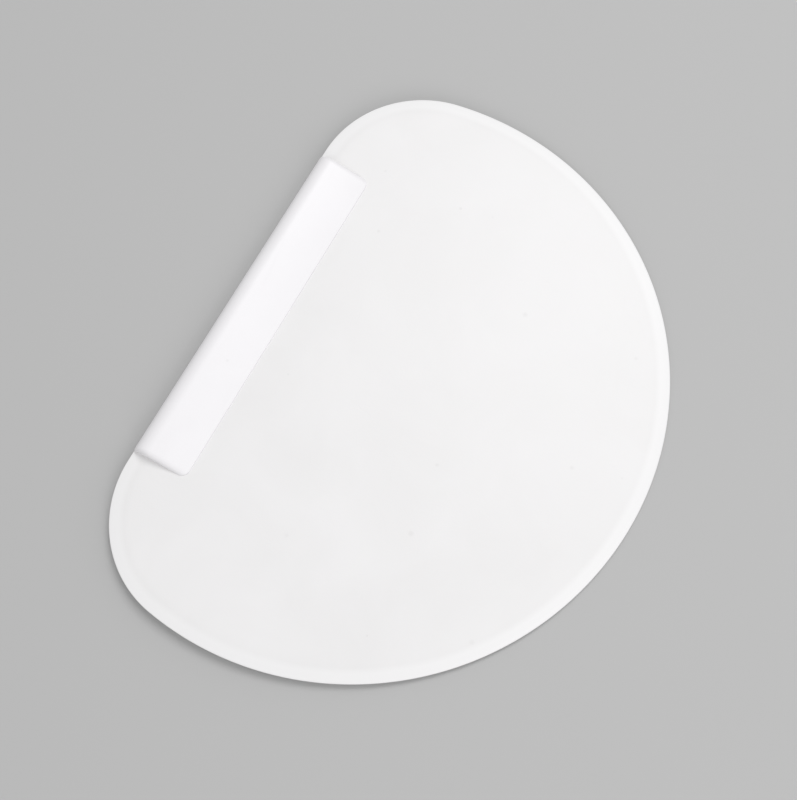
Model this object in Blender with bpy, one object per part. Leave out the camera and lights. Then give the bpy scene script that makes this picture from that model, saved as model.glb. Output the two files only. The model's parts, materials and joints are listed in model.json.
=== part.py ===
"""Half-round dough scraper: a thin flexible blade with a two-part grip pinned over its straight edge.

Every piece is modelled in the blade's own frame: X along the straight edge, Y from that edge towards the
curved scraping rim, and Z through the thickness, with z = 0 on the blade's middle plane. The empty
"scraper" then lays the assembly down on a bench at z = 0, where it rests on the heel of its grip and on
the far end of its blade, so the blade slopes down by a degree or two towards the rim. All sizes are in
metres.
"""

from math import acos, asin, atan2, cos, hypot, pi, radians, sin, sqrt

import bmesh
import bpy
from mathutils import Matrix

# The blade's outline is a round rim arc whose two ends run into smaller corner arcs and a straight edge.
BLADE_WIDTH = 0.140
BLADE_DEPTH = 0.103
CORNER_RADIUS = 0.026

# The blade is flat, and thins towards its edge on both faces over the width of the taper.
BLADE_THICKNESS = 0.0012
RIM_THICKNESS = 0.0005
RIM_TAPER = 0.004

# The closed grip is a wedge with a full-round nose along the blade's straight edge and a thin lip.
GRIP_LENGTH = 0.082
GRIP_DEPTH = 0.0135
NOSE_RADIUS = 0.0035
LIP_HEIGHT = 0.0003
SPINE_WALL = 0.0017

# The blade is thinned where the grip seats on it, which hides the grip's inner edge below its face.
SEAT_THICKNESS = 0.0008

# Each half carries two pegs and two sockets, which alternate along one line.
PEG_RADIUS = 0.0015
PEG_PITCH = 0.020
PEG_LINE = 0.0055
PEG_REACH = 0.0018
PEG_CHAMFER = 0.0003

# Pieces that touch keep this gap.
FIT_GAP = 0.0003

RIM_SEGMENTS = 72
CORNER_SEGMENTS = 20
NOSE_SEGMENTS = 16
PEG_SEGMENTS = 32

FRONT_PEGS = (-1.5 * PEG_PITCH, 0.5 * PEG_PITCH)
FRONT_SOCKETS = (-0.5 * PEG_PITCH, 1.5 * PEG_PITCH)
UNDERSIDE = SEAT_THICKNESS / 2 + FIT_GAP
SOCKET_TOP = PEG_REACH + FIT_GAP
HOLE_RADIUS = PEG_RADIUS + FIT_GAP


def clear_scene():
    for obj in list(bpy.data.objects):
        bpy.data.objects.remove(obj)


def plastic(name, colour, roughness):
    """A moulded plastic of one colour."""
    material = bpy.data.materials.new(name)
    material.use_nodes = True
    shader = material.node_tree.nodes["Principled BSDF"]
    shader.inputs["Base Color"].default_value = (*colour, 1)
    shader.inputs["Roughness"].default_value = roughness
    shader.inputs["Metallic"].default_value = 0
    return material


def new_object(name, bm):
    """Turns the bmesh into an object in the scene, with its faces pointing out."""
    bmesh.ops.recalc_face_normals(bm, faces=bm.faces)
    mesh = bpy.data.meshes.new(name)
    bm.to_mesh(mesh)
    bm.free()
    obj = bpy.data.objects.new(name, mesh)
    bpy.context.scene.collection.objects.link(obj)
    return obj


def combine(body, tool, operation):
    """Joins the tool to the body, or cuts it away, and removes the tool."""
    modifier = body.modifiers.new("combine", "BOOLEAN")
    modifier.operation = operation
    modifier.object = tool
    bpy.context.view_layer.objects.active = body
    bpy.ops.object.modifier_apply(modifier=modifier.name)
    bpy.data.objects.remove(tool)


def arc(centre, radius, start, end, segments):
    """Points on an arc from one angle to the other, both ends included."""
    angles = [start + (end - start) * i / segments for i in range(segments + 1)]
    return [(centre[0] + radius * cos(a), centre[1] + radius * sin(a)) for a in angles]


def blade_outline():
    """The D outline, anticlockwise from the right end of the straight edge, whose line closes it."""
    rim_radius = BLADE_WIDTH / 2
    rim_centre = (0, BLADE_DEPTH - rim_radius)
    # A corner arc touches the rim arc from inside, so their centres are the difference of radii apart.
    rise = rim_centre[1] - CORNER_RADIUS
    corner_x = sqrt((rim_radius - CORNER_RADIUS) ** 2 - rise**2)
    meet = atan2(-rise, corner_x)
    right = arc((corner_x, CORNER_RADIUS), CORNER_RADIUS, -pi / 2, meet, CORNER_SEGMENTS)
    rim = arc(rim_centre, rim_radius, meet, pi - meet, RIM_SEGMENTS)
    left = [(-x, y) for x, y in reversed(right)]
    return right + rim[1:-1] + left


def prism(name, profile, half_length):
    """A profile of (y, z) points drawn out along X, centred on x = 0."""
    bm = bmesh.new()
    face = bm.faces.new([bm.verts.new((-half_length, y, z)) for y, z in profile])
    drawn = bmesh.ops.extrude_face_region(bm, geom=[face])["geom"]
    moved = [item for item in drawn if isinstance(item, bmesh.types.BMVert)]
    bmesh.ops.translate(bm, verts=moved, vec=(2 * half_length, 0, 0))
    return new_object(name, bm)


def round_bars(name, places, radius, low, high, chamfer=0):
    """Upright round bars on the peg line at these x places, with their lower ends chamfered."""
    bm = bmesh.new()
    for x in places:
        middle = Matrix.Translation((x, PEG_LINE, (low + high) / 2))
        bmesh.ops.create_cone(
            bm,
            cap_ends=True,
            segments=PEG_SEGMENTS,
            radius1=radius,
            radius2=radius,
            depth=high - low,
            matrix=middle,
        )
    if chamfer:
        lowest = low + chamfer
        ends = [e for e in bm.edges if all(v.co.z < lowest for v in e.verts)]
        bmesh.ops.bevel(bm, geom=ends, offset=chamfer, segments=1, affect="EDGES")
    return new_object(name, bm)


def blade_body():
    """The plain D plate with its edge thinned on both faces, before the grip's seat is cut."""
    bm = bmesh.new()
    outline = [bm.verts.new((x, y, -RIM_THICKNESS / 2)) for x, y in blade_outline()]
    drawn = bmesh.ops.extrude_face_region(bm, geom=[bm.faces.new(outline)])["geom"]
    moved = [item for item in drawn if isinstance(item, bmesh.types.BMVert)]
    bmesh.ops.translate(bm, verts=moved, vec=(0, 0, RIM_THICKNESS))
    bmesh.ops.recalc_face_normals(bm, faces=bm.faces)
    bmesh.ops.inset_region(
        bm,
        faces=[face for face in bm.faces if abs(face.normal.z) > 0.5],
        thickness=RIM_TAPER,
        depth=(BLADE_THICKNESS - RIM_THICKNESS) / 2,
        use_even_offset=True,
    )
    return new_object("blade", bm)


def grip_seat_cutter():
    """What the grip needs cut from the blade: a notch for its spine, and a shallow recess in each face."""
    past = 2 * BLADE_THICKNESS
    step = SEAT_THICKNESS / 2
    notch = SPINE_WALL + FIT_GAP
    shoulder = GRIP_DEPTH + FIT_GAP
    profile = [
        (-past, -past),
        (shoulder, -past),
        (shoulder, -step),
        (notch, -step),
        (notch, step),
        (shoulder, step),
        (shoulder, past),
        (-past, past),
    ]
    return prism("seat_cutter", profile, GRIP_LENGTH / 2 + FIT_GAP)


def make_blade():
    blade = blade_body()
    combine(blade, grip_seat_cutter(), "DIFFERENCE")
    reach = 2 * BLADE_THICKNESS
    holes = round_bars("holes", FRONT_PEGS + FRONT_SOCKETS, HOLE_RADIUS, -reach, reach)
    combine(blade, holes, "DIFFERENCE")
    return blade


def grip_profile():
    """The front half's section in (y, z): nose arc, flat sloping face, lip, underside and spine wall."""
    lip = (GRIP_DEPTH, BLADE_THICKNESS / 2 + LIP_HEIGHT)
    # The flat face leaves the nose at a tangent and ends on top of the lip.
    across = lip[0] - NOSE_RADIUS
    leave = atan2(lip[1], across) + acos(NOSE_RADIUS / hypot(across, lip[1]))
    parting = asin(FIT_GAP / 2 / NOSE_RADIUS)
    nose = arc((NOSE_RADIUS, 0), NOSE_RADIUS, leave, pi - parting, NOSE_SEGMENTS)
    inside = [(SPINE_WALL, FIT_GAP / 2), (SPINE_WALL, UNDERSIDE), (GRIP_DEPTH, UNDERSIDE)]
    return nose + inside + [lip]


def make_grip_half():
    """The front half. The back half is the same moulding, turned over."""
    half = prism("grip_front", grip_profile(), GRIP_LENGTH / 2)
    root = UNDERSIDE + PEG_RADIUS / 2
    pegs = round_bars("pegs", FRONT_PEGS, PEG_RADIUS, -PEG_REACH, root, PEG_CHAMFER)
    combine(half, pegs, "UNION")
    sockets = round_bars("sockets", FRONT_SOCKETS, HOLE_RADIUS, 0, SOCKET_TOP)
    combine(half, sockets, "DIFFERENCE")
    return half


def lay_down(pieces):
    """Parents the pieces to an empty that rests them on z = 0, centred on the origin in X and Y."""
    # The blade touches the bench where its flat underside ends and the taper starts.
    along = BLADE_DEPTH - RIM_TAPER - NOSE_RADIUS
    under = BLADE_THICKNESS / 2
    slope = asin(NOSE_RADIUS / hypot(along, under)) - atan2(under, along)
    scraper = bpy.data.objects.new("scraper", None)
    bpy.context.scene.collection.objects.link(scraper)
    scraper.rotation_euler = (-slope, 0, 0)
    scraper.location = (0, -BLADE_DEPTH / 2 * cos(slope), NOSE_RADIUS * (1 + sin(slope)))
    for piece in pieces:
        piece.parent = scraper


def main():
    clear_scene()
    blade = make_blade()
    grip_front = make_grip_half()
    grip_back = bpy.data.objects.new("grip_back", grip_front.data)
    bpy.context.scene.collection.objects.link(grip_back)
    grip_back.rotation_euler = (0, pi, 0)

    blade.data.materials.append(plastic("flexible_white", (0.83, 0.83, 0.83), 0.45))
    grip_front.data.materials.append(plastic("rigid_white", (0.90, 0.89, 0.90), 0.38))
    for piece in (blade, grip_front):
        piece.data.shade_smooth()
        piece.data.set_sharp_from_angle(angle=radians(20))
    lay_down([blade, grip_front, grip_back])


main()
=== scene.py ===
"""A half-round dough scraper: a thin flexible blade, with a grip in two halves over its straight edge.

Each piece is modelled flat, in the blade's own frame: X along the straight edge, Y from that edge towards
the round scraping rim, and Z through the thickness, with z = 0 on the middle plane. It is then laid down on
the bench where the solid model lies, with the rim a little lower than the grip. Sizes are in metres.
"""

import json
from math import acos, asin, atan2, cos, hypot, pi, radians, sin, sqrt, tan

import bmesh
import bpy
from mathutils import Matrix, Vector


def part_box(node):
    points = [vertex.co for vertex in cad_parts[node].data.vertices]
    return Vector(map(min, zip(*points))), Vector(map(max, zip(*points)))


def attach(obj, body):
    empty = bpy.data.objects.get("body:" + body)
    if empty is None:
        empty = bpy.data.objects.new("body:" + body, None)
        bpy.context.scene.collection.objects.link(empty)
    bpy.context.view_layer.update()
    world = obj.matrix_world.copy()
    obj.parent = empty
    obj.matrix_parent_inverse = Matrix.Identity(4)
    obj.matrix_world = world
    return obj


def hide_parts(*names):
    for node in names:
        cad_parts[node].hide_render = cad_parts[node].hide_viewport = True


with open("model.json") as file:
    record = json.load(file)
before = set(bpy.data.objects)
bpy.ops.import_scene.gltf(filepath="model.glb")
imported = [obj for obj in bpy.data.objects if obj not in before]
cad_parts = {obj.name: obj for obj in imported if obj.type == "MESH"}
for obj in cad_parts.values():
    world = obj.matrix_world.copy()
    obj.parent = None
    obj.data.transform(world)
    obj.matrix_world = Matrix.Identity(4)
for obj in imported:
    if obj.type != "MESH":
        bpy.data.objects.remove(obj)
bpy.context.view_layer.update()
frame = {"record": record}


# ======================================================================================================
# The blade: one D-shaped sheet of white polypropylene, injection moulded. Both faces fall away over the
# last few millimetres to a thin rounded rim, which is what scrapes. Its straight edge is notched and
# thinned for the grip, and pierced for the grip's pegs.

blade_low, blade_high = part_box("blade")
mounts = {mount["name"]: mount for mount in frame["record"]["mounts"]}
blade_face = mounts["blade_front_face"]
slope = asin(blade_face["axis"][1])
rim_radius = (blade_high.x - blade_low.x) / 2
blade_depth = (blade_high.y - blade_low.y) / cos(slope)
blade_thickness = 0.0012
corner_radius = 0.026
rim_thickness = 0.0005
rim_taper = 0.004
rim_round = 0.45 * rim_thickness
crease_softness = 0.0007
seat_thickness = 0.0008
rim_steps = 200
corner_steps = 48

# Points closer than this are one point, and only faces that meet at more than this angle show a crease.
same_point = 1e-6
crease_angle = radians(35)

# The middle of the straight edge, on the blade's middle plane, as it lies on the bench.
edge_height = (
    blade_face["pos_m"][2]
    + (blade_face["pos_m"][1] - blade_low.y) * tan(slope)
    - blade_thickness / 2 / cos(slope)
)
straight_edge_middle = (0, blade_low.y, edge_height)


def start_at_point(name, place):
    """Adds an object that is one selected point, ready to be spun and extruded, and opens it for editing."""
    bpy.ops.object.select_all(action="DESELECT")
    bpy.ops.mesh.primitive_plane_add(size=0.01)
    bpy.context.object.name = name
    bpy.ops.object.mode_set(mode="EDIT")
    bpy.ops.mesh.select_mode(type="VERT")
    bpy.ops.mesh.merge(type="CENTER")
    bpy.ops.transform.translate(value=place)
    return bpy.context.object


def pick(kind, wanted):
    """Selects what passes the test, of kind VERT, EDGE or FACE, and nothing else of the open piece."""
    bpy.ops.mesh.select_mode(type=kind)
    bpy.ops.mesh.select_all(action="DESELECT")
    mesh = bpy.context.object.data
    shape = bmesh.from_edit_mesh(mesh)
    for item in {"VERT": shape.verts, "EDGE": shape.edges, "FACE": shape.faces}[kind]:
        if wanted(item):
            item.select_set(True)
    bmesh.update_edit_mesh(mesh)


def every(edge, test):
    """Whether both ends of an edge pass the test."""
    return all(test(vert.co) for vert in edge.verts)


def is_upright(edge):
    """Whether an edge runs straight up."""
    return (edge.verts[1].co - edge.verts[0].co).xy.length < same_point


def fill_outline(last_step):
    """Draws the outline's last point on to its first, and fills the outline with one face."""
    bpy.ops.mesh.extrude_vertices_move(TRANSFORM_OT_translate={"value": last_step})
    bpy.ops.mesh.select_all(action="SELECT")
    bpy.ops.mesh.remove_doubles(threshold=same_point)
    bpy.ops.mesh.edge_face_add()


def draw_out(along):
    """Draws the filled outline out to a solid."""
    bpy.ops.mesh.select_all(action="SELECT")
    bpy.ops.mesh.extrude_region_move(TRANSFORM_OT_translate={"value": along})
    bpy.ops.mesh.select_all(action="SELECT")
    bpy.ops.mesh.normals_make_consistent(inside=False)


def add_block(low, high):
    """Adds a rectangular tool between two corners, for a cut."""
    bpy.ops.object.select_all(action="DESELECT")
    bpy.ops.mesh.primitive_cube_add(size=1)
    block = bpy.context.object
    block.scale = [b - a for a, b in zip(low, high)]
    block.location = [(a + b) / 2 for a, b in zip(low, high)]
    bpy.ops.object.transform_apply(location=True, rotation=True, scale=True)
    return block


def add_peg(x, y, radius, low, high, chamfer=0):
    """Adds an upright round tool between two heights, with the edge of its lower end chamfered."""
    bpy.ops.object.select_all(action="DESELECT")
    bpy.ops.mesh.primitive_cylinder_add(
        vertices=64, radius=radius, depth=high - low, location=(x, y, (low + high) / 2)
    )
    peg = bpy.context.object
    if chamfer:
        bpy.ops.object.mode_set(mode="EDIT")
        pick("EDGE", lambda edge: every(edge, lambda co: co.z < 0))
        bpy.ops.mesh.bevel(offset=chamfer, segments=3, affect="EDGES")
        bpy.ops.object.mode_set(mode="OBJECT")
    return peg


def combine(piece, tool, operation):
    """Cuts the tool away from the piece, or joins it on, and removes the tool."""
    bpy.ops.object.select_all(action="DESELECT")
    piece.select_set(True)
    bpy.context.view_layer.objects.active = piece
    bpy.ops.object.modifier_add(type="BOOLEAN")
    piece.modifiers[-1].operation = operation
    piece.modifiers[-1].object = tool
    bpy.ops.object.modifier_apply(modifier=piece.modifiers[-1].name)
    bpy.data.objects.remove(tool)


def merge_close_points(piece):
    """Merges the points that the cuts left almost on top of each other."""
    bpy.ops.object.mode_set(mode="EDIT")
    bpy.ops.mesh.select_all(action="SELECT")
    bpy.ops.mesh.remove_doubles(threshold=2 * same_point)
    bpy.ops.object.mode_set(mode="OBJECT")


def lay_down(piece):
    """Moves a piece from the blade's frame to where it lies on the bench, with its place in its mesh."""
    bpy.ops.object.select_all(action="DESELECT")
    piece.select_set(True)
    bpy.context.view_layer.objects.active = piece
    piece.rotation_euler = (-slope, 0, 0)
    piece.location = straight_edge_middle
    bpy.ops.object.transform_apply(location=True, rotation=True, scale=True)


# The outline is three arcs, each tangent to the next, and the straight line between their ends.
rim_centre_y = blade_depth - rim_radius
corner_x = sqrt((rim_radius - corner_radius) ** 2 - (rim_centre_y - corner_radius) ** 2)
corner_turn = pi / 2 - atan2(rim_centre_y - corner_radius, corner_x)
blade = start_at_point("blade_sheet", (corner_x, 0, -rim_thickness / 2))
for centre_x, centre_y, turn, steps in (
    (corner_x, corner_radius, corner_turn, corner_steps),
    (0, rim_centre_y, 2 * (pi - corner_turn), rim_steps),
    (-corner_x, corner_radius, corner_turn, corner_steps),
):
    bpy.ops.mesh.spin(steps=steps, angle=turn, center=(centre_x, centre_y, 0), axis=(0, 0, -1))
fill_outline((2 * corner_x, 0, 0))
draw_out((0, 0, rim_thickness))

# Both faces step in and up to the full thickness, and then in again to keep the middle of the face flat.
pick("FACE", lambda face: abs(face.normal.z) > 0.9)
bpy.ops.mesh.inset(thickness=rim_taper, depth=(blade_thickness - rim_thickness) / 2)
bpy.ops.mesh.inset(thickness=2 * crease_softness, depth=0)
pick("EDGE", lambda edge: sum(abs(face.normal.z) > 0.9999 for face in edge.link_faces) == 1)
bpy.ops.mesh.bevel(offset=crease_softness, segments=4, affect="EDGES")
pick("EDGE", lambda edge: sum(abs(face.normal.z) < 0.5 for face in edge.link_faces) == 1)
bpy.ops.mesh.bevel(offset=rim_round, segments=5, affect="EDGES")

# A "rim" value of 1 along the thin edge fades to 0 over the taper: the plastic is painted paler there,
# partly as edge wear and partly as a painted highlight for the light that the thin tapered edge catches.
bpy.ops.object.mode_set(mode="OBJECT")
bpy.ops.geometry.attribute_add(name="rim", domain="POINT", data_type="FLOAT")
bpy.ops.object.mode_set(mode="EDIT")
pick("VERT", lambda vert: abs(vert.co.z) < 0.6 * rim_thickness)
bpy.ops.mesh.attribute_set(value_float=1)
bpy.ops.object.mode_set(mode="OBJECT")

# The grip's seat: a notch for its spine, a shallow recess in each face with the round corners of the grip's
# lip, and a hole for each of its pegs. The seat is a hair smaller than the grip, so that no gap shows around
# it, and the cuts start a little past the blade.
grip_low, grip_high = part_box("grip_front")
grip_length = grip_high.x - grip_low.x
grip_depth = 0.0135
lip_corner = 0.002
end_steps = 12
spine_wall = 0.0017
peg_radius = 0.0015
peg_line = 0.0055
peg_pitch = 0.020
hairline = 0.00001
seat_half = grip_length / 2 - hairline
cut_past = 0.002
combine(
    blade,
    add_block((-seat_half, -cut_past, -cut_past), (seat_half, spine_wall - hairline, cut_past)),
    "DIFFERENCE",
)
for side in (-1, 1):
    floor = side * seat_thickness / 2
    past = side * cut_past
    recess = add_block(
        (-seat_half, -cut_past, min(floor, past)),
        (seat_half, grip_depth - hairline, max(floor, past)),
    )
    bpy.ops.object.mode_set(mode="EDIT")
    pick("EDGE", lambda edge: is_upright(edge) and every(edge, lambda co: co.y > 0))
    bpy.ops.mesh.bevel(offset=lip_corner, segments=end_steps, affect="EDGES")
    bpy.ops.object.mode_set(mode="OBJECT")
    combine(blade, recess, "DIFFERENCE")
peg_places = (-1.5, 0.5)
socket_places = (-0.5, 1.5)
for place in sorted(peg_places + socket_places):
    hole = add_peg(place * peg_pitch, peg_line, peg_radius + hairline, -cut_past, cut_past)
    combine(blade, hole, "DIFFERENCE")
merge_close_points(blade)
bpy.ops.object.shade_smooth_by_angle(angle=crease_angle)
lay_down(blade)


def add_node(tree, kind, inputs=None, **settings):
    """Adds a shader node. Each input is a value, or the output socket of another node that feeds it."""
    made = tree.nodes.new("ShaderNode" + kind)
    made.location = (180 * len(tree.nodes), 0)
    for name, value in settings.items():
        setattr(made, name, value)
    for name, value in (inputs or {}).items():
        if isinstance(value, bpy.types.NodeSocket):
            tree.links.new(value, made.inputs[name])
        else:
            made.inputs[name].default_value = value
    return made


def maths(tree, operation, *values):
    """Adds a maths node and returns its result."""
    return add_node(tree, "Math", dict(enumerate(values)), operation=operation).outputs[0]


def fit_range(tree, value, low, high, to_low=0.0, to_high=1.0):
    """Adds a node that carries low..high over to to_low..to_high, clamped, and returns its result."""
    ends = {"Value": value, "From Min": low, "From Max": high, "To Min": to_low, "To Max": to_high}
    return add_node(tree, "MapRange", ends).outputs[0]


def new_group(name, inputs, outputs):
    """Starts a shader group with these sockets and returns its tree, and what goes in and out of it."""
    tree = bpy.data.node_groups.new(name, "ShaderNodeTree")
    for socket, kind in inputs.items():
        tree.interface.new_socket(socket, in_out="INPUT", socket_type="NodeSocket" + kind)
    for socket in outputs:
        tree.interface.new_socket(socket, in_out="OUTPUT", socket_type="NodeSocketFloat")
    start = tree.nodes.new("NodeGroupInput")
    end = tree.nodes.new("NodeGroupOutput")
    return tree, start.outputs, end.inputs


# What every moulded piece's plastic shows: soft clouds where it flowed and cooled unevenly, the fine grain
# of the mould's wall, and a few faint dark specks just under the surface.
skin, given, gives = new_group(
    "moulded_skin",
    {"Place": "Vector", "Cloud size": "Float", "Grain size": "Float", "Speck spacing": "Float"},
    ("Clouds", "Grain", "Specks"),
)
cloud_scale = maths(skin, "DIVIDE", 1, given["Cloud size"])
clouds = add_node(
    skin,
    "TexNoise",
    {"Vector": given["Place"], "Scale": cloud_scale, "Detail": 4, "Distortion": 0.6},
)
skin.links.new(fit_range(skin, clouds.outputs["Fac"], 0.3, 0.7), gives["Clouds"])
grain_scale = maths(skin, "DIVIDE", 1, given["Grain size"])
grain = add_node(
    skin, "TexNoise", {"Vector": given["Place"], "Scale": grain_scale, "Detail": 2}
)
skin.links.new(grain.outputs["Fac"], gives["Grain"])
speck_scale = maths(skin, "DIVIDE", 1, given["Speck spacing"])
cells = add_node(
    skin,
    "TexVoronoi",
    {"Vector": given["Place"], "Scale": speck_scale},
    voronoi_dimensions="2D",
)

# A third of the cells hold a speck, and a cell with a higher chance has a wider one.
chance = add_node(skin, "SeparateColor", {"Color": cells.outputs["Color"]}).outputs
speck_reach = fit_range(skin, chance["Red"], 0.6, 1, 0.015, 0.055)
speck_shape = fit_range(skin, maths(skin, "DIVIDE", cells.outputs["Distance"], speck_reach), 0.3, 1, 1, 0)
speck_shown = maths(skin, "GREATER_THAN", chance["Red"], 0.65)
speck_strength = fit_range(skin, chance["Green"], 0, 1, 0.35, 1)
skin.links.new(
    maths(skin, "MULTIPLY", maths(skin, "MULTIPLY", speck_shape, speck_shown), speck_strength),
    gives["Specks"],
)

# What handling leaves on them: hairline scratches that run mostly one way, in patches.
wear, given, gives = new_group(
    "hairline_scratches",
    {"Place": "Vector", "Turn": "Float", "Spacing": "Float"},
    ("Scratches",),
)
turned = add_node(
    wear, "VectorRotate", {"Vector": given["Place"], "Angle": given["Turn"]}, rotation_type="Z_AXIS"
)
long_way = add_node(wear, "Mapping", {"Vector": turned.outputs[0], "Scale": (1, 0.02, 1)})
scratch_scale = maths(wear, "DIVIDE", 1, given["Spacing"])
lines = add_node(
    wear,
    "TexNoise",
    {"Vector": long_way.outputs[0], "Scale": scratch_scale, "Detail": 2, "Distortion": 0.1},
)
line_mask = fit_range(wear, lines.outputs["Fac"], 0.66, 0.74)
patches = add_node(wear, "TexNoise", {"Vector": turned.outputs[0], "Scale": 60, "Detail": 2})
patch_mask = fit_range(wear, patches.outputs["Fac"], 0.5, 0.65)
wear.links.new(maths(wear, "MULTIPLY", line_mask, patch_mask), gives["Scratches"])


def place_group(tree, group, inputs):
    """Adds a group to a material with these inputs and returns its outputs."""
    return add_node(tree, "Group", inputs, node_tree=group).outputs


def mix_colours(tree, amount, first, second):
    """Adds a colour mix, the first at an amount of 0 and the second at 1, and returns its result."""
    # The node's sockets for numbers, vectors and colours share their names, so these go by their place.
    return add_node(tree, "Mix", {0: amount, 6: first, 7: second}, data_type="RGBA").outputs[2]


def start_material(piece, name):
    """Gives the piece a new material and returns its node tree and its shader."""
    material = bpy.data.materials.new(name)
    material.use_nodes = True
    piece.data.materials.clear()
    piece.data.materials.append(material)
    return material.node_tree, material.node_tree.nodes["Principled BSDF"]


plastic_ior = 1.49

# The blade's plastic: a milky white, painted a little darker than the grip's as painted shade for the light
# the thin sheet lets through, and satin from the mould's fine grain.
tree, shader = start_material(blade, "flexible_white")
place = add_node(tree, "TexCoord").outputs["Object"]
skin_of = place_group(
    tree,
    skin,
    {"Place": place, "Cloud size": 0.022, "Grain size": 0.00045, "Speck spacing": 0.014},
)
scratches = place_group(tree, wear, {"Place": place, "Turn": 0.15, "Spacing": 0.0009})["Scratches"]
cross_scratches = place_group(tree, wear, {"Place": place, "Turn": 1.2, "Spacing": 0.0013})["Scratches"]
rim = add_node(tree, "Attribute", attribute_name="rim").outputs["Fac"]
cloudy = mix_colours(tree, skin_of["Clouds"], (0.805, 0.798, 0.80, 1), (0.835, 0.828, 0.833, 1))
# Paler towards the rim: partly edge wear, partly a painted highlight for the light the thin edge catches.
rim_wear_and_painted_highlight = mix_colours(tree, fit_range(tree, rim, 0, 0.4, 0, 0.8), cloudy, (0.87, 0.865, 0.87, 1))
specked = mix_colours(
    tree, maths(tree, "MULTIPLY", skin_of["Specks"], 0.1), rim_wear_and_painted_highlight, (0.25, 0.23, 0.22, 1)
)
tree.links.new(specked, shader.inputs["Base Color"])
all_scratches = maths(tree, "MAXIMUM", scratches, cross_scratches)
satin = maths(tree, "MULTIPLY_ADD", skin_of["Clouds"], 0.05, 0.40)
smoother_rim = maths(tree, "MULTIPLY_ADD", rim, -0.08, satin)
tree.links.new(
    maths(tree, "MULTIPLY_ADD", all_scratches, 0.12, smoother_rim), shader.inputs["Roughness"]
)
grain_bump = add_node(tree, "Bump", {"Height": skin_of["Grain"], "Strength": 0.5, "Distance": 0.00002})
scratch_bump = add_node(
    tree,
    "Bump",
    {
        "Height": all_scratches,
        "Strength": 0.4,
        "Distance": 0.00001,
        "Normal": grain_bump.outputs["Normal"],
    },
    invert=True,
)
tree.links.new(scratch_bump.outputs["Normal"], shader.inputs["Normal"])
shader.inputs["IOR"].default_value = plastic_ior

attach(blade, "root")
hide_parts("blade")


# ======================================================================================================
# The grip's front half: a stiff, opaque white moulding with a half-round nose, a flat face that slopes down
# to a thin lip, and a spine wall that meets the other half. Two round pegs stand on its hidden side, next
# to two sockets that take the other half's pegs, through the holes in the blade.

nose_radius = 0.0035
lip_height = 0.0003
peg_reach = 0.0018
peg_chamfer = 0.0003
nose_steps = 32
long_round = 0.0002
end_round = 0.0013

# The sloping face leaves the nose at a tangent and ends on top of the lip.
lip_top = blade_thickness / 2 + lip_height
across = grip_depth - nose_radius
face_turn = atan2(lip_top, across) + acos(nose_radius / hypot(across, lip_top))
seam_turn = pi - asin(hairline / 2 / nose_radius)
underside = seat_thickness / 2 + hairline
left_end = lip_corner - grip_length / 2

grip_front = start_at_point(
    "grip_front_half",
    (left_end, nose_radius * (1 + cos(face_turn)), nose_radius * sin(face_turn)),
)
bpy.ops.mesh.spin(
    steps=nose_steps,
    angle=seam_turn - face_turn,
    center=(left_end, nose_radius, 0),
    axis=(-1, 0, 0),
)
run_in = spine_wall - nose_radius * (1 + cos(seam_turn))
for y, z in (
    (run_in, 0),
    (0, underside - hairline / 2),
    (grip_depth - spine_wall, 0),
    (0, lip_top - underside),
):
    bpy.ops.mesh.extrude_vertices_move(TRANSFORM_OT_translate={"value": (0, y, z)})
face_run = nose_radius * (1 + cos(face_turn)) - grip_depth
face_rise = nose_radius * sin(face_turn) - lip_top
fill_outline((0, face_run, face_rise))


def on_lip_or_seam(vert):
    """Whether a point is the lip's upper edge or the nose's edge at the seam with the other half."""
    on_lip = vert.co.y > grip_depth - same_point and vert.co.z > lip_top - same_point
    on_seam = vert.co.y < hairline and vert.co.z < hairline
    return on_lip or on_seam


# The lip and the seam are a little round along their length.
pick("VERT", on_lip_or_seam)
bpy.ops.mesh.bevel(offset=long_round, segments=4, affect="VERTICES")
draw_out((grip_length - 2 * lip_corner, 0, 0))

# The ends are drawn out further in small steps, in which the lip comes in around its corner and the top
# comes down over the end's round edge. The nose's seam and the spine wall run straight to the very end.
corner_turns = [pi / 2 * step / end_steps for step in range(end_steps + 1)]
to_end = [lip_corner * (1 - sin(turn)) for turn in corner_turns]
lip_in = [lip_corner * (1 - cos(turn)) for turn in corner_turns]
top_down = [end_round - sqrt(end_round**2 - max(end_round - gap, 0) ** 2) for gap in to_end]
for side in (-1, 1):
    for step in range(1, end_steps + 1):
        drawn_to = grip_length / 2 - to_end[step - 1]
        next_end = grip_length / 2 - to_end[step]
        pick("FACE", lambda face: side * face.calc_center_median().x > drawn_to - same_point)
        bpy.ops.mesh.extrude_region_move(
            TRANSFORM_OT_translate={"value": (side * (next_end - drawn_to), 0, 0)}
        )
        past_last = next_end - same_point
        pick("VERT", lambda vert: side * vert.co.x > past_last and vert.co.y > nose_radius)
        keep = (across - lip_in[step]) / (across - lip_in[step - 1])
        bpy.ops.transform.resize(value=(1, keep, 1), center_override=(0, nose_radius, 0))
        pick("VERT", lambda vert: side * vert.co.x > past_last and vert.co.z > underside + same_point)
        top = nose_radius - underside
        keep = (top - top_down[step]) / (top - top_down[step - 1])
        bpy.ops.transform.resize(value=(1, 1, keep), center_override=(0, 0, underside))
bpy.ops.object.mode_set(mode="OBJECT")

for place in peg_places:
    peg = add_peg(
        place * peg_pitch, peg_line, peg_radius, -peg_reach, underside + peg_radius / 2, peg_chamfer
    )
    combine(grip_front, peg, "UNION")
for place in socket_places:
    socket = add_peg(place * peg_pitch, peg_line, peg_radius + hairline, 0, peg_reach + hairline)
    combine(grip_front, socket, "DIFFERENCE")
merge_close_points(grip_front)
bpy.ops.object.shade_smooth_by_angle(angle=crease_angle)
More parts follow.
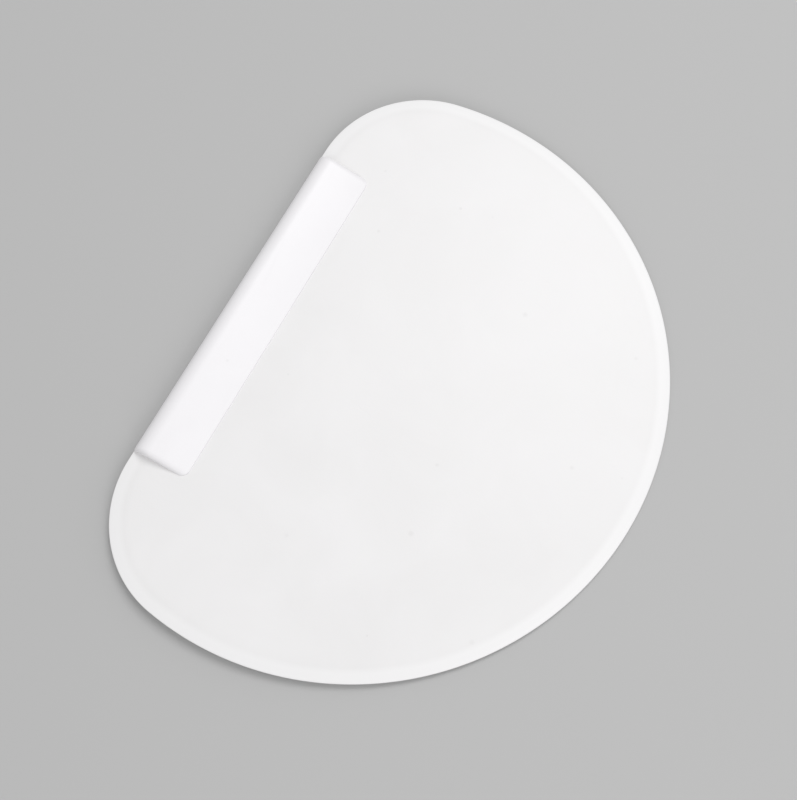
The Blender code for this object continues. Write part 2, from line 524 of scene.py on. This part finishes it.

# The grip's plastic: painted whiter than the blade's, as painted light for thick plastic showing brighter
# than the thin sheet, with a slightly finer grain than the blade's.
tree, shader = start_material(grip_front, "stiff_white")
place = add_node(tree, "TexCoord").outputs["Object"]
skin_of = place_group(
    tree,
    skin,
    {"Place": place, "Cloud size": 0.012, "Grain size": 0.00035, "Speck spacing": 0.020},
)
scratches = place_group(tree, wear, {"Place": place, "Turn": 1.45, "Spacing": 0.0008})["Scratches"]
cloudy = mix_colours(tree, skin_of["Clouds"], (0.848, 0.836, 0.855, 1), (0.866, 0.854, 0.873, 1))
specked = mix_colours(
    tree, maths(tree, "MULTIPLY", skin_of["Specks"], 0.08), cloudy, (0.3, 0.28, 0.27, 1)
)
tree.links.new(specked, shader.inputs["Base Color"])
satin = maths(tree, "MULTIPLY_ADD", skin_of["Clouds"], 0.05, 0.36)
tree.links.new(maths(tree, "MULTIPLY_ADD", scratches, 0.12, satin), shader.inputs["Roughness"])
grain_bump = add_node(tree, "Bump", {"Height": skin_of["Grain"], "Strength": 0.4, "Distance": 0.00002})
tree.links.new(grain_bump.outputs["Normal"], shader.inputs["Normal"])
shader.inputs["IOR"].default_value = plastic_ior


# ======================================================================================================
# The grip's back half: the same moulding turned over, so its pegs meet the front half's sockets. The two
# are pressed together over the blade, and their spine walls close the nose at a fine seam.

bpy.ops.object.duplicate()
grip_back = bpy.context.object
grip_back.name = "grip_back_half"
grip_back.rotation_euler = (0, pi, 0)
bpy.ops.object.transform_apply(location=True, rotation=True, scale=True)

for half, node in ((grip_front, "grip_front"), (grip_back, "grip_back")):
    lay_down(half)
    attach(half, "root")
    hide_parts(node)


# ======================================================================================================
# The bench: a plain pale board, much larger than the scraper. It isn't part of the object.

bench_width = 3
bpy.ops.object.select_all(action="DESELECT")
bpy.ops.mesh.primitive_plane_add(size=bench_width)
bench = bpy.context.object
bench.name = "bench"
tree, shader = start_material(bench, "pale_bench")
shader.inputs["Base Color"].default_value = (0.48, 0.48, 0.48, 1)
shader.inputs["Roughness"].default_value = 0.7


# ======================================================================================================
# Light: three soft boxes in an even pale room. The main one is high over the scraper's left end, a weak one
# is high over its rim, and another stands lower beyond its right side.

box_distance = 1.0
box_size = 0.5


def add_soft_box(name, turn, rise, watts):
    """Adds a soft box that points at the scraper, at this turn from +X and this rise above the bench."""
    bpy.ops.object.select_all(action="DESELECT")
    towards = Vector((cos(turn) * cos(rise), sin(turn) * cos(rise), sin(rise)))
    bpy.ops.object.light_add(type="AREA", location=box_distance * towards)
    lamp = bpy.context.object
    lamp.name = name
    lamp.rotation_euler = towards.to_track_quat("Z", "Y").to_euler()
    lamp.data.size = box_size
    lamp.data.energy = watts
    lamp.visible_camera = False


add_soft_box("left_soft_box", radians(180), radians(62), 3.6)
add_soft_box("rim_soft_box", radians(90), radians(62), 1.3)
add_soft_box("right_soft_box", radians(45), radians(35), 1.9)
room = bpy.data.worlds.new("room")
bpy.context.scene.world = room
room.use_nodes = True
room.node_tree.nodes["Background"].inputs["Color"].default_value = (1, 1, 1, 1)
room.node_tree.nodes["Background"].inputs["Strength"].default_value = 0.53
bpy.context.scene.view_settings.view_transform = "Standard"


# ======================================================================================================
# The camera looks down from beyond the rim's right end, turned so that the grip runs up the left side.

bpy.ops.object.select_all(action="DESELECT")
bpy.ops.object.camera_add(
    location=(0.06394, 0.04253, 0.23657),
    rotation=(radians(18.13), radians(3.13), radians(118.99)),
)
camera = bpy.context.object
camera.data.lens = 50
camera.data.clip_start = 0.01
camera.data.clip_end = 10
bpy.context.scene.camera = camera
